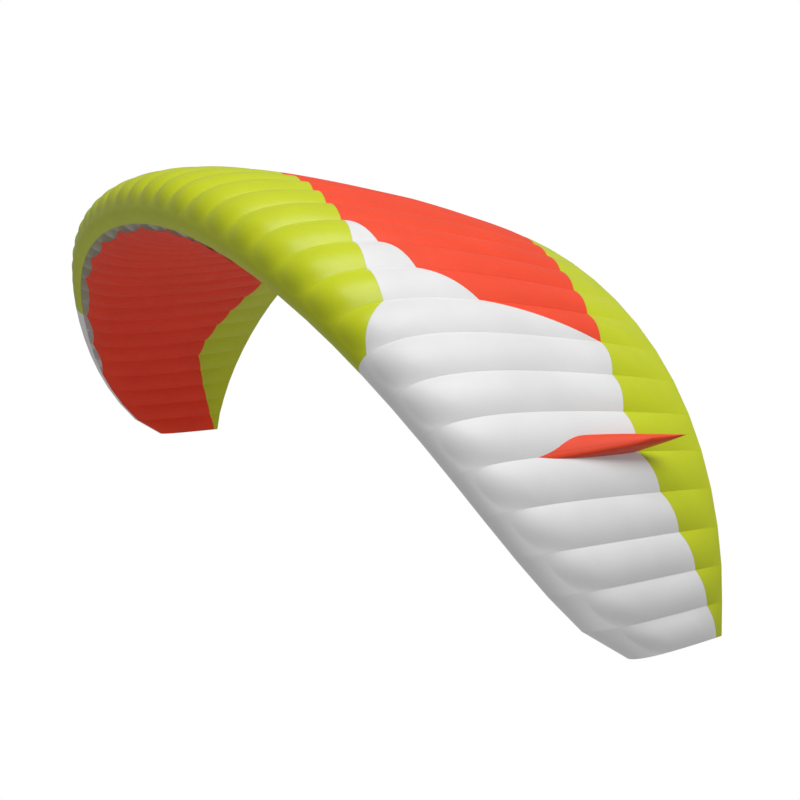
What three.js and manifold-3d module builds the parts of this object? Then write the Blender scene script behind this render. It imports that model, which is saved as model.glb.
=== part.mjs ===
// Paraglider wing: the inflated canopy in flight shape, without its lines.
// Millimetres. +X runs along the span, +Y from the nose to the trailing edge, +Z up.
// The origin is on the underside of the centre rib, where the lines' pull is centred.
// Left and right are the pilot's, who faces -Y, so the left half is at +X.
import * as THREE from 'three';
import Module from 'manifold-3d';

const wasm = await Module();
wasm.setup();

// ---- Driving dimensions ----------------------------------------------------------------
const SPAN = 11400;              // flat span, measured along the arch
const CELLS = 38;                // cells from tip to tip, so 19 on each side
const HALF_CELLS = CELLS / 2;
const TIP_CROWDING = 0.145;      // how much the cells narrow towards the tips
const ARCH = { linear: 45, cubic: 39.5 };                  // tilt in degrees: linear*u + cubic*u^3
const CHORD = { root: 3000, tip: 0.27, power: 2.5, root_power: 0.76 };
const SWEEP = { main: 0.425, power: 2.5, tip: 0.12, tip_power: 12 };  // nose set back, in root chords
const TIP_CUT = 85;              // the last rib's nose is cut back further, so the tip has a corner
const PROFILE = { thickness: 0.165, tip_loss: 0.35, tip_power: 5, camber: 0.005, camber_at: 0.3 };
const EDGE_HALF = 2.4;           // half height of the closed trailing edge
// The common four-digit thickness curve: weights of t^0.5, t, t^2, t^3 and t^4, for a bulk of 0.2.
const THICKNESS_CURVE = { bulk: 0.2, root: 0.2969, powers: [-0.1260, -0.3516, 0.2843, -0.1036] };
const BLUNT = { weight: 0.115, power: 4 };       // rounds the nose by weight*t^0.5*(1-t)^power

const CLOTH = 2;                 // modelled thickness of sails and ribs
const SEAM_GAP = 0.5;            // between two panels that are sewn edge to edge
const RIB_SEAM = 0.001;          // half gap of a seam that lies on a rib, in cells
const SEAT_GAP = 0.35;           // between a rib or winglet and the sail it is sewn to
const RIB_END = 0.97;            // ribs stop here, as a fraction of the chord

const BILLOW = 0.12;             // height of a cell's crown, as a fraction of the cell's width
const LOWER_BILLOW = 0.6;        // the lower sail's crown against the upper sail's
// Where a crown starts behind the nose, as a root of the chord fraction: it is full a rise later.
const BILLOW_FRONT = { rise: 0.2, tip: 0.48, tip_power: 5.5, lower: 0.2 };
const BILLOW_REAR = { from: 0.7, power: 0.65 };  // the crown falls away to the trailing edge

const UPPER_STRIPS = 3;          // facets across each cell
const LOWER_STRIPS = 2;

const MOUNT_AT = 0.3;            // chord fraction of the origin on the centre rib

const COLOUR = { lime: 0xb4be1e, orange: 0xe84e36, white: 0xf2f2f0, red: 0xa82c1a, grey: 0x76736f };

// Seams of the upper sail: chord fractions marked on some ribs, counted from the centre rib. A seam
// runs evenly over the ribs between two marks.
const SEAMS = {
  nose: [[0, 0.365], [4, 0.32], [7, 0.232], [10, 0.12], [11, 0.008], [19, 0.008]],   // front panel's rear
  wedge: [[0, 0.365], [4, 0.32], [7, 0.232], [9, 0.292], [10, 0.402], [11, 0.757]],  // centre panel's front
  rear: [[4, 1], [5, 0.98], [11, 0.757], [13, 0.68], [14, 0.665], [16, 0.747], [18, 0.86], [19, 0.927]],
};
const BELLY_BACK = 0.012;        // the lower rear band starts this much further back
const LIP = [[0, 0.026], [12, 0.026], [15, 0.02], [19, 0.02]];   // rear edge of the sail under the nose
// The lower sail's front edge comes forward at some ribs and stays back at the ribs between them.
const INLET = { forward: 0.014, back: 0.03, forward_ribs: [0, 2, 4, 6, 8, 11, 13], end: 15 };
const FRONT_PANEL_END = 11;      // last rib of the lime front panel and of the centre panel
const WEDGE_END = 7;             // rib where the white side panel comes to its inner point
const BAND_END = 4;              // rib where the rear bands come to their inner point

// Winglet, a swept fin on the upper sail. Heights are above the sail.
const WINGLET = {
  rib: 14, inboard: 50,          // rib it is sewn on, and how far its middle stands inboard of it
  front: 0.238, rear: 0.655,     // ends of its root, as chord fractions
  crest: { at: 0.666, high: 217 },     // rear end of the leading edge
  rise: 0.7,                     // a lower power curves the leading edge more
  tip: { at: 0.793, high: 200 },
  half_thickness: 78, fullness: 0.68, // greatest half thickness; a lower power is blunter
  slimming: 0.985,               // share of the squared thickness that is lost at the tip
  sunk: 70,                      // how deep it starts before it is cut by the sail
  levels: 6, points: 9,          // facets up the fin and along each of its faces
};

// ---- The wing's smooth shape --------------------------------------------------------------
const lerp = THREE.MathUtils.lerp;
const HALF_SPAN = SPAN / 2;

// Tilt of the arch, in radians, at a fraction u of the half span.
function archTilt(u) {
  return THREE.MathUtils.degToRad(ARCH.linear * u + ARCH.cubic * u ** 3);
}

// The arch in front view, as points at equal steps along the flat span.
const ARCH_STEPS = 400;
const archPoints = [new THREE.Vector2(0, 0)];
for (let step = 1; step <= ARCH_STEPS; step++) {
  const tilt = archTilt((step - 0.5) / ARCH_STEPS);
  const length = HALF_SPAN / ARCH_STEPS;
  const last = archPoints[step - 1];
  const run = new THREE.Vector2(Math.cos(tilt), -Math.sin(tilt));
  archPoints.push(last.clone().addScaledVector(run, length));
}

// Half the wing's thickness at a chord fraction t, as a fraction of the chord.
function halfThickness(t, u) {
  const { thickness, tip_loss, tip_power } = PROFILE;
  const { bulk, root, powers } = THICKNESS_CURVE;
  const blunt = BLUNT.weight * Math.sqrt(t) * (1 - t) ** BLUNT.power;
  const curve = powers.reduce((sum, weight, n) => sum + weight * t ** (n + 1), root * Math.sqrt(t) + blunt);
  return thickness * (1 - tip_loss * u ** tip_power) / bulk * curve;
}

function camberLine(t) {
  const { camber, camber_at: p } = PROFILE;
  if (t < p) return camber / p ** 2 * (2 * p * t - t * t);
  return camber / (1 - p) ** 2 * (1 - 2 * p + 2 * p * t - t * t);
}

// One rib's plane. side is +1 on the left half and -1 on the right.
function makeRibPlane(rib) {
  const share = Math.abs(rib) / HALF_CELLS;
  const u = Math.min(share * (1 + TIP_CROWDING) - TIP_CROWDING * share ** 3, 1);
  const side = rib < 0 ? -1 : 1;
  const place = u * ARCH_STEPS;
  const step = Math.min(Math.floor(place), ARCH_STEPS - 1);
  const at = archPoints[step].clone().lerp(archPoints[step + 1], place - step);
  const tilt = side * archTilt(u);
  const taper = CHORD.tip + (1 - CHORD.tip) * (1 - u ** CHORD.power) ** CHORD.root_power;
  const cut = Math.abs(rib) === HALF_CELLS ? TIP_CUT : 0;
  return {
    u,
    x: side * at.x,
    z: at.y,
    chord: CHORD.root * taper,
    nose: CHORD.root * (SWEEP.main * u ** SWEEP.power + SWEEP.tip * u ** SWEEP.tip_power) + cut,
    out: new THREE.Vector3(Math.sin(tilt), 0, Math.cos(tilt)),       // away from the arch's middle
    along: new THREE.Vector3(Math.cos(tilt), 0, -Math.sin(tilt)),    // along the span, to +X
  };
}
const ribPlanes = new Map();
for (let rib = -HALF_CELLS; rib <= HALF_CELLS; rib++) ribPlanes.set(rib, makeRibPlane(rib));

// Where a place lies in its rib's plane: y along the chord, h across it. q is the signed root of
// the chord fraction, positive on the upper side, so it runs smoothly round the nose.
function profilePoint(plane, q) {
  const t = q * q;
  const side = q < 0 ? -1 : 1;
  const thick = halfThickness(t, plane.u) * plane.chord + EDGE_HALF * t;
  return { y: plane.nose + t * plane.chord, h: camberLine(t) * plane.chord + side * thick };
}

const ORIGIN = (() => {
  const middle = profilePoint(ribPlanes.get(0), -Math.sqrt(MOUNT_AT));
  return new THREE.Vector3(0, middle.y, middle.h);
})();

function inPlane(plane, y, h, across = 0) {
  return new THREE.Vector3(plane.x, y, plane.z)
    .addScaledVector(plane.out, h)
    .addScaledVector(plane.along, across)
    .sub(ORIGIN);
}

function onRib(plane, q) {
  const { y, h } = profilePoint(plane, q);
  return inPlane(plane, y, h);
}

const SLOPE_STEP = 0.002;

// Outward direction at a rib, square to the profile and in the rib's plane.
function outwardOnRib(plane, q) {
  const a = profilePoint(plane, Math.max(q - SLOPE_STEP, -1));
  const b = profilePoint(plane, Math.min(q + SLOPE_STEP, 1));
  const run = new THREE.Vector2(b.y - a.y, b.h - a.h).normalize();
  return new THREE.Vector3(0, -run.y, 0).addScaledVector(plane.out, run.x);
}

// Height of the crown over the straight line between two ribs, u being the cell's place.
function billow(width, u, share, q) {
  const t = q * q;
  const { rise, tip, tip_power, lower: below } = BILLOW_FRONT;
  const start = q < 0 ? below : tip * u ** tip_power;
  const front = THREE.MathUtils.smoothstep(Math.abs(q), start, start + rise);
  const left = THREE.MathUtils.clamp((1 - t) / (1 - BILLOW_REAR.from), 0, 1);
  const rear = left ** BILLOW_REAR.power;
  const side = q < 0 ? LOWER_BILLOW : 1;
  return BILLOW * width * 4 * share * (1 - share) * front * rear * side;
}

const ROUNDING = 1e-9;           // so that a station a hair short of a rib counts as on it

// The two ribs beside a place along the span, and its share of the way between them.
function cellAt(station) {
  const low = Math.min(Math.floor(station + ROUNDING), HALF_CELLS - 1);
  return { a: ribPlanes.get(low), b: ribPlanes.get(low + 1), share: Math.max(station - low, 0) };
}

// A point of the sail, and the same point moved outward by lift.
function onSail(station, q, lift = 0) {
  const { a, b, share } = cellAt(station);
  const point = onRib(a, q).lerp(onRib(b, q), share);
  const outward = outwardOnRib(a, q).lerp(outwardOnRib(b, q), share).normalize();
  const width = Math.hypot(b.x - a.x, b.z - a.z);
  return point.addScaledVector(outward, billow(width, lerp(a.u, b.u, share), share, q) + lift);
}

// ---- Seams ----------------------------------------------------------------------------------
const INLET_SCALLOP = 0.004;     // how far the lower sail's front edge dips between open ribs

// A seam's chord fraction from its marks. It runs evenly in q, which is even over the cloth too.
function alongMarks(marks, station) {
  const place = Math.abs(station);
  if (place <= marks[0][0]) return marks[0][1];
  if (place >= marks.at(-1)[0]) return marks.at(-1)[1];
  const next = marks.findIndex(([rib]) => rib > place);
  const [[rib, t], [nextRib, nextT]] = [marks[next - 1], marks[next]];
  return lerp(Math.sqrt(t), Math.sqrt(nextT), (place - rib) / (nextRib - rib)) ** 2;
}

function seamAt(name, station) {
  const rear = alongMarks(SEAMS.rear, station);
  if (name === 'belly') return Math.min(rear + BELLY_BACK, 1);
  if (name === 'wedge' && Math.abs(station) > FRONT_PANEL_END) return rear;
  return alongMarks(SEAMS[name], station);
}

const lipAt = (station) => alongMarks(LIP, station);

// How far behind the lip the lower sail starts on a rib. Past the last inlet they are sewn together.
function inletDepth(rib) {
  if (rib >= INLET.end) return 0;
  return INLET.forward_ribs.includes(rib) ? INLET.forward : INLET.back;
}

function inletAt(station) {
  const place = Math.min(Math.abs(station), HALF_CELLS);
  const low = Math.min(Math.floor(place + ROUNDING), HALF_CELLS - 1);
  const share = Math.max(place - low, 0);
  const depth = lerp(inletDepth(low), inletDepth(low + 1), share);
  return lipAt(station) + depth + (depth > 0 ? INLET_SCALLOP * 4 * share * (1 - share) : 0);
}

// Moves a seam's q by half the seam gap, forward (-1) or back (+1) as q runs.
function trim(station, q, direction) {
  const ahead = onSail(station, q + SLOPE_STEP);
  const speed = ahead.distanceTo(onSail(station, q - SLOPE_STEP)) / (2 * SLOPE_STEP);
  return q + direction * SEAM_GAP / 2 / speed;
}

const upper = (t) => Math.sqrt(t);
const lower = (t) => -Math.sqrt(t);

// Edges of the panels, as q at a place along the span.
const edge = {
  lip: (s) => trim(s, lower(lipAt(s)), 1),
  frontPanelRear: (s) => trim(s, upper(seamAt('nose', s)), -1),
  sidePanelFront: (s) => trim(s, upper(seamAt('nose', s)), 1),
  sidePanelRear: (s) => trim(s, upper(seamAt('wedge', s)), -1),
  centreFront: (s) => trim(s, upper(seamAt('wedge', s)), 1),
  centreRear: (s) => (Math.abs(s) < BAND_END ? 1 : trim(s, upper(seamAt('rear', s)), -1)),
  bandFront: (s) => trim(s, upper(seamAt('rear', s)), 1),
  trailing: () => 1,
  inlet: (s) => trim(s, lower(inletAt(s)), -1),
  bellyRear: (s) => (Math.abs(s) < BAND_END ? -1 : trim(s, lower(seamAt('belly', s)), 1)),
  bellyBandFront: (s) => trim(s, lower(seamAt('belly', s)), -1),
  lowerTrailing: () => -1,
};

// ---- Sheets -----------------------------------------------------------------------------------
// Places along the span from one rib to another, with a number of strips in each cell.
function stations(from, to, strips) {
  const count = Math.round((to - from) * strips);
  return Array.from({ length: count + 1 }, (_, n) => from + n / strips);
}

// A patch of sail: for each station a row of q from the edge at its front to the one behind it.
function patch(from, to, strips, front, rear, rows) {
  return stations(from, to, strips).map((station) => (
    Array.from({ length: rows + 1 }, (_, n) => [station, lerp(front(station), rear(station), n / rows)])
  ));
}

// One closed solid from patches that share edges: an outer skin, an inner skin and the rim.
function sheetGeometry(patches, outerLift = 0, innerLift = -CLOTH) {
  const index = new Map();
  const places = [];
  const vertex = ([station, q]) => {
    const key = `${station.toFixed(4)},${q.toFixed(6)}`;
    if (!index.has(key)) {
      index.set(key, places.length);
      places.push([station, q]);
    }
    return index.get(key);
  };
  const faces = [];
  for (const columns of patches) {
    for (let c = 0; c + 1 < columns.length; c++) {
      for (let r = 0; r + 1 < columns[c].length; r++) {
        const [a, b] = [columns[c][r], columns[c + 1][r]].map(vertex);
        const [d, e] = [columns[c][r + 1], columns[c + 1][r + 1]].map(vertex);
        if (columns[c][r][0] >= 0) faces.push([a, b, e], [a, e, d]);
        else faces.push([a, b, d], [b, e, d]);
      }
    }
  }
  const count = places.length;
  const positions = [outerLift, innerLift].flatMap((lift) => (
    places.flatMap(([station, q]) => onSail(station, q, lift).toArray())
  ));
  const edges = new Set(faces.flatMap(([a, b, c]) => [`${a},${b}`, `${b},${c}`, `${c},${a}`]));
  const rim = [...edges].map((pair) => pair.split(',').map(Number))
    .filter(([a, b]) => !edges.has(`${b},${a}`))
    .flatMap(([a, b]) => [[b, a, a + count], [b, a + count, b + count]]);
  const inner = faces.map(([a, b, c]) => [a + count, c + count, b + count]);
  const geometry = new THREE.BufferGeometry();
  geometry.setAttribute('position', new THREE.Float32BufferAttribute(positions, 3));
  geometry.setIndex([...faces, ...inner, ...rim].flat());
  return geometry;
}

const cloth = (colour) => new THREE.MeshStandardMaterial({ color: colour, roughness: 0.6, metalness: 0 });
const materials = Object.fromEntries(Object.entries(COLOUR).map(([name, colour]) => [name, cloth(colour)]));

function addMesh(group, name, geometry, material) {
  geometry.computeVertexNormals();
  const mesh = new THREE.Mesh(geometry, material);
  mesh.name = name;
  group.add(mesh);
  return mesh;
}

const ROWS = { front: 8, noseStrip: 3, side: 6, centre: 4, band: 3, belly: 6, bellyBand: 3 };

// Panels are written for the left half; the right half mirrors from and to.
const mirrored = (half, from, to) => (half > 0 ? [from, to] : [-to, -from]);

function sidePatches(half) {
  const whole = mirrored(half, WEDGE_END, HALF_CELLS);
  const outer = mirrored(half, FRONT_PANEL_END, HALF_CELLS);
  return [
    patch(...whole, UPPER_STRIPS, edge.sidePanelFront, edge.sidePanelRear, ROWS.side),
    patch(...outer, UPPER_STRIPS, edge.lip, edge.sidePanelFront, ROWS.noseStrip),
  ];
}

function bandPatches(half) {
  const reach = mirrored(half, BAND_END, HALF_CELLS);
  return [patch(...reach, UPPER_STRIPS, edge.bandFront, edge.trailing, ROWS.band)];
}

function bellyBandPatches(half) {
  const reach = mirrored(half, BAND_END, HALF_CELLS);
  return [patch(...reach, LOWER_STRIPS, edge.lowerTrailing, edge.bellyBandFront, ROWS.bellyBand)];
}

// Sets the columns that lie on a rib back from it, where another panel starts on that rib.
function trimAtRib(columns, rib, towards) {
  for (const column of columns) {
    if (Math.abs(column[0][0] - rib) > ROUNDING) continue;
    for (const place of column) place[0] += towards * RIB_SEAM;
  }
}

function frontPatches(half) {
  const reach = mirrored(half, 0, FRONT_PANEL_END);
  const columns = patch(...reach, UPPER_STRIPS, edge.lip, edge.frontPanelRear, ROWS.front);
  trimAtRib(columns, 0, half);
  trimAtRib(columns, half * FRONT_PANEL_END, -half);
  return [columns];
}

function centrePatches(half) {
  const reach = mirrored(half, 0, FRONT_PANEL_END);
  const columns = patch(...reach, UPPER_STRIPS, edge.centreFront, edge.centreRear, ROWS.centre);
  trimAtRib(columns, 0, half);
  return [columns];
}

function bellyPatches(half) {
  const reach = mirrored(half, 0, HALF_CELLS);
  const columns = patch(...reach, LOWER_STRIPS, edge.bellyRear, edge.inlet, ROWS.belly);
  trimAtRib(columns, 0, half);
  return [columns];
}

// ---- Ribs -------------------------------------------------------------------------------------
// Places on a rib, from the trailing end of the upper side round the nose to the lower one.
function ribPlaces(rib) {
  const place = Math.abs(rib);
  const panels = [
    { shown: place < FRONT_PANEL_END, from: edge.lip, to: edge.frontPanelRear, rows: ROWS.front },
    { shown: place >= FRONT_PANEL_END, from: edge.lip, to: edge.sidePanelFront, rows: ROWS.noseStrip },
    { shown: place > WEDGE_END, from: edge.sidePanelFront, to: edge.sidePanelRear, rows: ROWS.side },
    { shown: place < FRONT_PANEL_END, from: edge.centreFront, to: edge.centreRear, rows: ROWS.centre },
    { shown: place > BAND_END, from: edge.bandFront, to: edge.trailing, rows: ROWS.band },
    { shown: place > BAND_END, from: edge.lowerTrailing, to: edge.bellyBandFront, rows: ROWS.bellyBand },
    { shown: true, from: edge.bellyRear, to: edge.inlet, rows: ROWS.belly },
  ];
  return panels.filter(({ shown }) => shown)
    .flatMap(({ from, to, rows }) => (
      Array.from({ length: rows + 1 }, (_, n) => lerp(from(place), to(place), n / rows))
    ))
    .sort((a, b) => b - a);
}

// How far the rib's edge is set in, so that its square corners clear a sail that slopes there.
function ribInset(rib, q) {
  const plane = ribPlanes.get(rib);
  const outward = outwardOnRib(plane, q);
  const here = onSail(rib, q);
  const reach = Math.abs(rib) === HALF_CELLS ? CLOTH : CLOTH / 2;
  let deepest = 0;
  for (const step of [-1 / UPPER_STRIPS, 1 / UPPER_STRIPS]) {
    const station = rib + step;
    if (Math.abs(station) > HALF_CELLS) continue;
    const move = onSail(station, q).sub(here);
    deepest = Math.max(deepest, -move.dot(outward) / Math.abs(move.dot(plane.along)) * reach);
  }
  return CLOTH + SEAT_GAP + deepest;
}

const SAME_PLACE = 4;            // rib corners closer than this are one corner

function addRib(group, rib) {
  const plane = ribPlanes.get(rib);
  const corner = (q) => {
    const inset = ribInset(rib, q);
    const { y, h } = profilePoint(plane, q);
    const outward = outwardOnRib(plane, q);
    return new THREE.Vector2(y - outward.y * inset, h - outward.dot(plane.out) * inset);
  };
  const corners = [];
  for (const q of ribPlaces(rib)) {
    const point = corner(q);
    if (!corners.length || corners.at(-1).distanceTo(point) > SAME_PLACE) corners.push(point);
  }
  const outline = new THREE.Shape(cutOffBehind(corners, plane.nose + RIB_END * plane.chord));
  const geometry = new THREE.ExtrudeGeometry(outline, { depth: CLOTH, bevelEnabled: false });
  const material = Math.abs(rib) === HALF_CELLS ? materials.white : materials.grey;
  const mesh = addMesh(group, ribName(rib), geometry, material);
  const turn = new THREE.Matrix4().makeBasis(new THREE.Vector3(0, 1, 0), plane.out, plane.along);
  mesh.applyMatrix4(turn.setPosition(inPlane(plane, 0, 0, -CLOTH / 2 - Math.sign(rib) * tipShift(rib))));
}

// A tip rib lies just inside the end of the sails; the others are centred on their seam.
function tipShift(rib) {
  return Math.abs(rib) === HALF_CELLS ? CLOTH / 2 : 0;
}

// Ends an outline at a given y, keeping the parts in front of it.
function cutOffBehind(corners, end) {
  const kept = [];
  for (let n = 0; n < corners.length; n++) {
    const point = corners[n];
    const next = corners[(n + 1) % corners.length];
    if (point.x <= end) kept.push(point);
    if ((point.x <= end) !== (next.x <= end)) {
      kept.push(point.clone().lerp(next, (end - point.x) / (next.x - point.x)));
    }
  }
  return kept;
}

function sideName(side) {
  return side > 0 ? 'left' : 'right';
}

function ribName(rib) {
  if (rib === 0) return 'rib_centre';
  return `rib_${sideName(rib)}_${String(Math.abs(rib)).padStart(2, '0')}`;
}

// ---- Winglets -----------------------------------------------------------------------------------
function toManifold(geometry) {
  return new wasm.Manifold(new wasm.Mesh({
    numProp: 3,
    vertProperties: new Float32Array(geometry.getAttribute('position').array),
    triVerts: new Uint32Array(geometry.getIndex().array),
  }));
}

function fromManifold(solid) {
  const { vertProperties, triVerts } = solid.getMesh();
  const geometry = new THREE.BufferGeometry();
  geometry.setAttribute('position', new THREE.Float32BufferAttribute(Array.from(vertProperties), 3));
  geometry.setIndex(Array.from(triVerts));
  return geometry;
}

// Front and rear of the fin at a height above the root, along the chord.
function finReach(plane, high) {
  const { front, rear, crest, rise, tip } = WINGLET;
  const root = { front: plane.nose + front * plane.chord, rear: plane.nose + rear * plane.chord };
  const crestY = plane.nose + crest.at * plane.chord;
  const tipY = plane.nose + tip.at * plane.chord;
  return {
    front: lerp(root.front, crestY, (Math.max(high, 0) / crest.high) ** rise),
    rear: lerp(root.rear, tipY, Math.max(high, 0) / tip.high),
  };
}

// A point on a face of the fin: high above the sail, and along it from its front to its rear.
function onFin(plane, side, high, along, face) {
  const { inboard, half_thickness: fat, fullness, slimming, tip, front, rear } = WINGLET;
  const reach = finReach(plane, high);
  const y = lerp(reach.front, reach.rear, along);
  const t = THREE.MathUtils.clamp((y - plane.nose) / plane.chord, front, rear);
  const slim = Math.sqrt(1 - Math.max(high, 0) / tip.high * slimming);
  const swell = Math.sin(Math.PI * along ** fullness) ** fullness;
  const across = swell * (face * fat * slim - side * inboard);
  return inPlane(plane, y, profilePoint(plane, upper(t)).h + high, across);
}

function addWinglet(group, side) {
  const { rib, sunk, levels, points, tip } = WINGLET;
  const plane = ribPlanes.get(side * rib);
  const positions = [];
  for (let level = 0; level <= levels; level++) {
    const high = level === 0 ? -sunk : lerp(0, tip.high, (level - 1) / (levels - 1));
    for (let n = 0; n < 2 * points; n++) {
      const face = n < points ? 1 : -1;
      const along = n < points ? n / points : (2 * points - n) / points;
      positions.push(...onFin(plane, side, high, along, face).toArray());
    }
  }
  const ring = 2 * points;
  const triangles = [];
  for (let level = 0; level < levels; level++) {
    for (let n = 0; n < ring; n++) {
      const [a, b] = [level * ring + n, level * ring + (n + 1) % ring];
      triangles.push(a, b, b + ring, a, b + ring, a + ring);
    }
  }
  const top = levels * ring;
  for (let n = 1; n + 1 < ring; n++) {
    triangles.push(0, n + 1, n);
    triangles.push(top, top + n, top + n + 1);
  }
  const fin = new THREE.BufferGeometry();
  fin.setAttribute('position', new THREE.Float32BufferAttribute(positions, 3));
  fin.setIndex(triangles);
  // Each blocker is the sail thickened inwards past the fin's sunken foot.
  const blockers = [sidePatches(side), bandPatches(side)]
    .map((patches) => toManifold(sheetGeometry(patches, SEAT_GAP, -2 * sunk)));
  const solid = blockers.reduce((rest, blocker) => rest.subtract(blocker), toManifold(fin));
  addMesh(group, `winglet_${sideName(side)}`, fromManifold(solid), materials.orange);
}

// ---- The wing -----------------------------------------------------------------------------------
const wing = new THREE.Group();
wing.name = 'paraglider_wing';

for (const side of [1, -1]) {
  const name = sideName(side);
  addMesh(wing, `upper_front_panel_${name}`, sheetGeometry(frontPatches(side)), materials.lime);
  addMesh(wing, `upper_centre_panel_${name}`, sheetGeometry(centrePatches(side)), materials.orange);
  addMesh(wing, `lower_main_panel_${name}`, sheetGeometry(bellyPatches(side)), materials.red);
  addMesh(wing, `upper_side_panel_${name}`, sheetGeometry(sidePatches(side)), materials.white);
  addMesh(wing, `upper_rear_band_${name}`, sheetGeometry(bandPatches(side)), materials.lime);
  addMesh(wing, `lower_rear_band_${name}`, sheetGeometry(bellyBandPatches(side)), materials.lime);
  addWinglet(wing, side);
}
for (let rib = -HALF_CELLS; rib <= HALF_CELLS; rib++) addRib(wing, rib);

export default wing;
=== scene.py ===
# %% [markdown]
# # A paraglider wing
# The wing is a row of cloth cells that the air blows up. Each cell lies between two ribs, and its
# upper and lower sails are sewn to the edges of those ribs. In this lesson every sail is a thin
# sheet that is bent over the ribs by a formula, because a formula gives the same smooth, taut
# curves as air pressure does, and each seam falls exactly where the next panel starts.

import math

import bpy
import numpy as np
from mathutils import Matrix, Vector
from mathutils.bvhtree import BVHTree


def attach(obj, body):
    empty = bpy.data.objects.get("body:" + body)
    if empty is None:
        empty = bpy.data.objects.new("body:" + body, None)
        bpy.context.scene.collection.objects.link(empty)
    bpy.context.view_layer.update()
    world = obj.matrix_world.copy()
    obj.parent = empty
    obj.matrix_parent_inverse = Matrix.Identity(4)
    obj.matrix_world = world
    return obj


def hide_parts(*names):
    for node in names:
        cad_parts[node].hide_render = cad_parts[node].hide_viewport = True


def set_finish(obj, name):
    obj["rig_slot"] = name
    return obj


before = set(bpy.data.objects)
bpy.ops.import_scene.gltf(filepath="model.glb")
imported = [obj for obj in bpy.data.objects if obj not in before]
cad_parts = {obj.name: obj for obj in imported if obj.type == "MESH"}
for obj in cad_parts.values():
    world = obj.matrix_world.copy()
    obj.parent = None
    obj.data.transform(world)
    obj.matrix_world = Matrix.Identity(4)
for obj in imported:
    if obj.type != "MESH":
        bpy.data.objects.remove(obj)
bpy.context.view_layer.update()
for thing in list(bpy.context.selected_objects):
    thing.select_set(False)

# %% [markdown]
# ## The ribs set the shape
# Seen from the front the wing is an arch, and each rib is a thin section of the wing that stands
# square to that arch. So the shape is worked out rib by rib: its place on the arch, its tilt, its
# chord and how far its nose is set back. Ribs are numbered from -19 at the right tip to 19 at the
# left tip, and a place between two ribs is a number in between.

# %% Sizes of the wing, in metres
SPAN = 11.4                  # along the arch, tip to tip
HALF_CELLS = 19              # cells on each side
TIP_CROWDING = 0.145         # how much the cells narrow towards the tips
ARCH_LINEAR, ARCH_CUBIC = 45, 39.5         # tilt of the arch at the tip, in degrees
ROOT_CHORD, TIP_CHORD = 3.0, 0.27          # the tip's is a share of the root's
CHORD_POWER, CHORD_ROOT_POWER = 2.5, 0.76
SWEEP_MAIN, SWEEP_MAIN_POWER = 0.425, 2.5  # the nose is set back, in root chords
SWEEP_TIP, SWEEP_TIP_POWER = 0.12, 12
TIP_CUT = 0.085              # the last rib's nose is cut back further, so the tip has a corner
THICKNESS, TIP_LOSS, TIP_LOSS_POWER = 0.165, 0.35, 5     # thickness is a share of the chord
BLUNT, BLUNT_POWER = 0.115, 4              # rounds the nose
CAMBER, CAMBER_AT = 0.005, 0.3             # rise of the middle line, and where it is highest
CLOTH = 0.0012               # thickness of each sheet
EDGE_HALF = 0.00135          # half height of the closed trailing edge
MOUNT_AT = 0.3               # the origin is under the centre rib, at this share of its chord
ARCH_STEPS = 400             # short straight pieces that the arch is added up from

rib_numbers = np.arange(-HALF_CELLS, HALF_CELLS + 1)


def arch_tilt(u):
    """Tilt of the arch in radians, at a share u of the half span."""
    return np.radians(ARCH_LINEAR * u + ARCH_CUBIC * u**3)


def rib_table():
    """Place, chord and directions of every rib, one row for each."""
    share = np.abs(rib_numbers) / HALF_CELLS
    u = np.minimum(share * (1 + TIP_CROWDING) - TIP_CROWDING * share**3, 1)
    side = np.where(rib_numbers < 0, -1, 1)
    middle = (np.arange(ARCH_STEPS) + 0.5) / ARCH_STEPS
    step = SPAN / 2 / ARCH_STEPS
    arch_x = np.concatenate([[0], np.cumsum(np.cos(arch_tilt(middle)))]) * step
    arch_z = np.concatenate([[0], np.cumsum(-np.sin(arch_tilt(middle)))]) * step
    at = np.linspace(0, 1, ARCH_STEPS + 1)
    tilt = side * arch_tilt(u)
    taper = TIP_CHORD + (1 - TIP_CHORD) * (1 - u**CHORD_POWER) ** CHORD_ROOT_POWER
    nose = ROOT_CHORD * (SWEEP_MAIN * u**SWEEP_MAIN_POWER + SWEEP_TIP * u**SWEEP_TIP_POWER)
    level = np.zeros_like(u)
    return {
        "u": u,
        "x": side * np.interp(u, at, arch_x),
        "z": np.interp(u, at, arch_z),
        "chord": ROOT_CHORD * taper,
        "nose": nose + np.where(share == 1, TIP_CUT, 0),
        "out": np.stack([np.sin(tilt), level, np.cos(tilt)], -1),
        "along": np.stack([np.cos(tilt), level, -np.sin(tilt)], -1),
    }


ribs = rib_table()
print("half span in flight:", round(float(ribs["x"][-1]), 3), "m")

# %% [markdown]
# ## The section
# A rib's outline is a teardrop: round at the nose, deepest near a third of the chord and sharp at
# the rear. A place on it is given by q. Its square is the share of the chord behind the nose, and
# its sign says which side of the wing is meant, so q runs smoothly round the nose from the lower
# trailing edge at -1 to the upper one at 1.

# %% Places on the ribs
SLOPE_STEP = 0.002           # a slope is measured this far to each side, in q
TEARDROP = (0.2969, -0.1260, -0.3516, 0.2843, -0.1036)   # for the root of t, t, t^2, t^3, t^4
TEARDROP_SCALE = 5           # makes the teardrop's full thickness 1


def half_thickness(t, u):
    """Half the wing's thickness at a share t of the chord, as a share of the chord."""
    bulk = THICKNESS * (1 - TIP_LOSS * u**TIP_LOSS_POWER)
    root, first, second, third, fourth = TEARDROP
    nose = (root + BLUNT * (1 - t) ** BLUNT_POWER) * np.sqrt(t)
    body = nose + first * t + second * t**2 + third * t**3 + fourth * t**4
    return TEARDROP_SCALE * bulk * body


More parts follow.
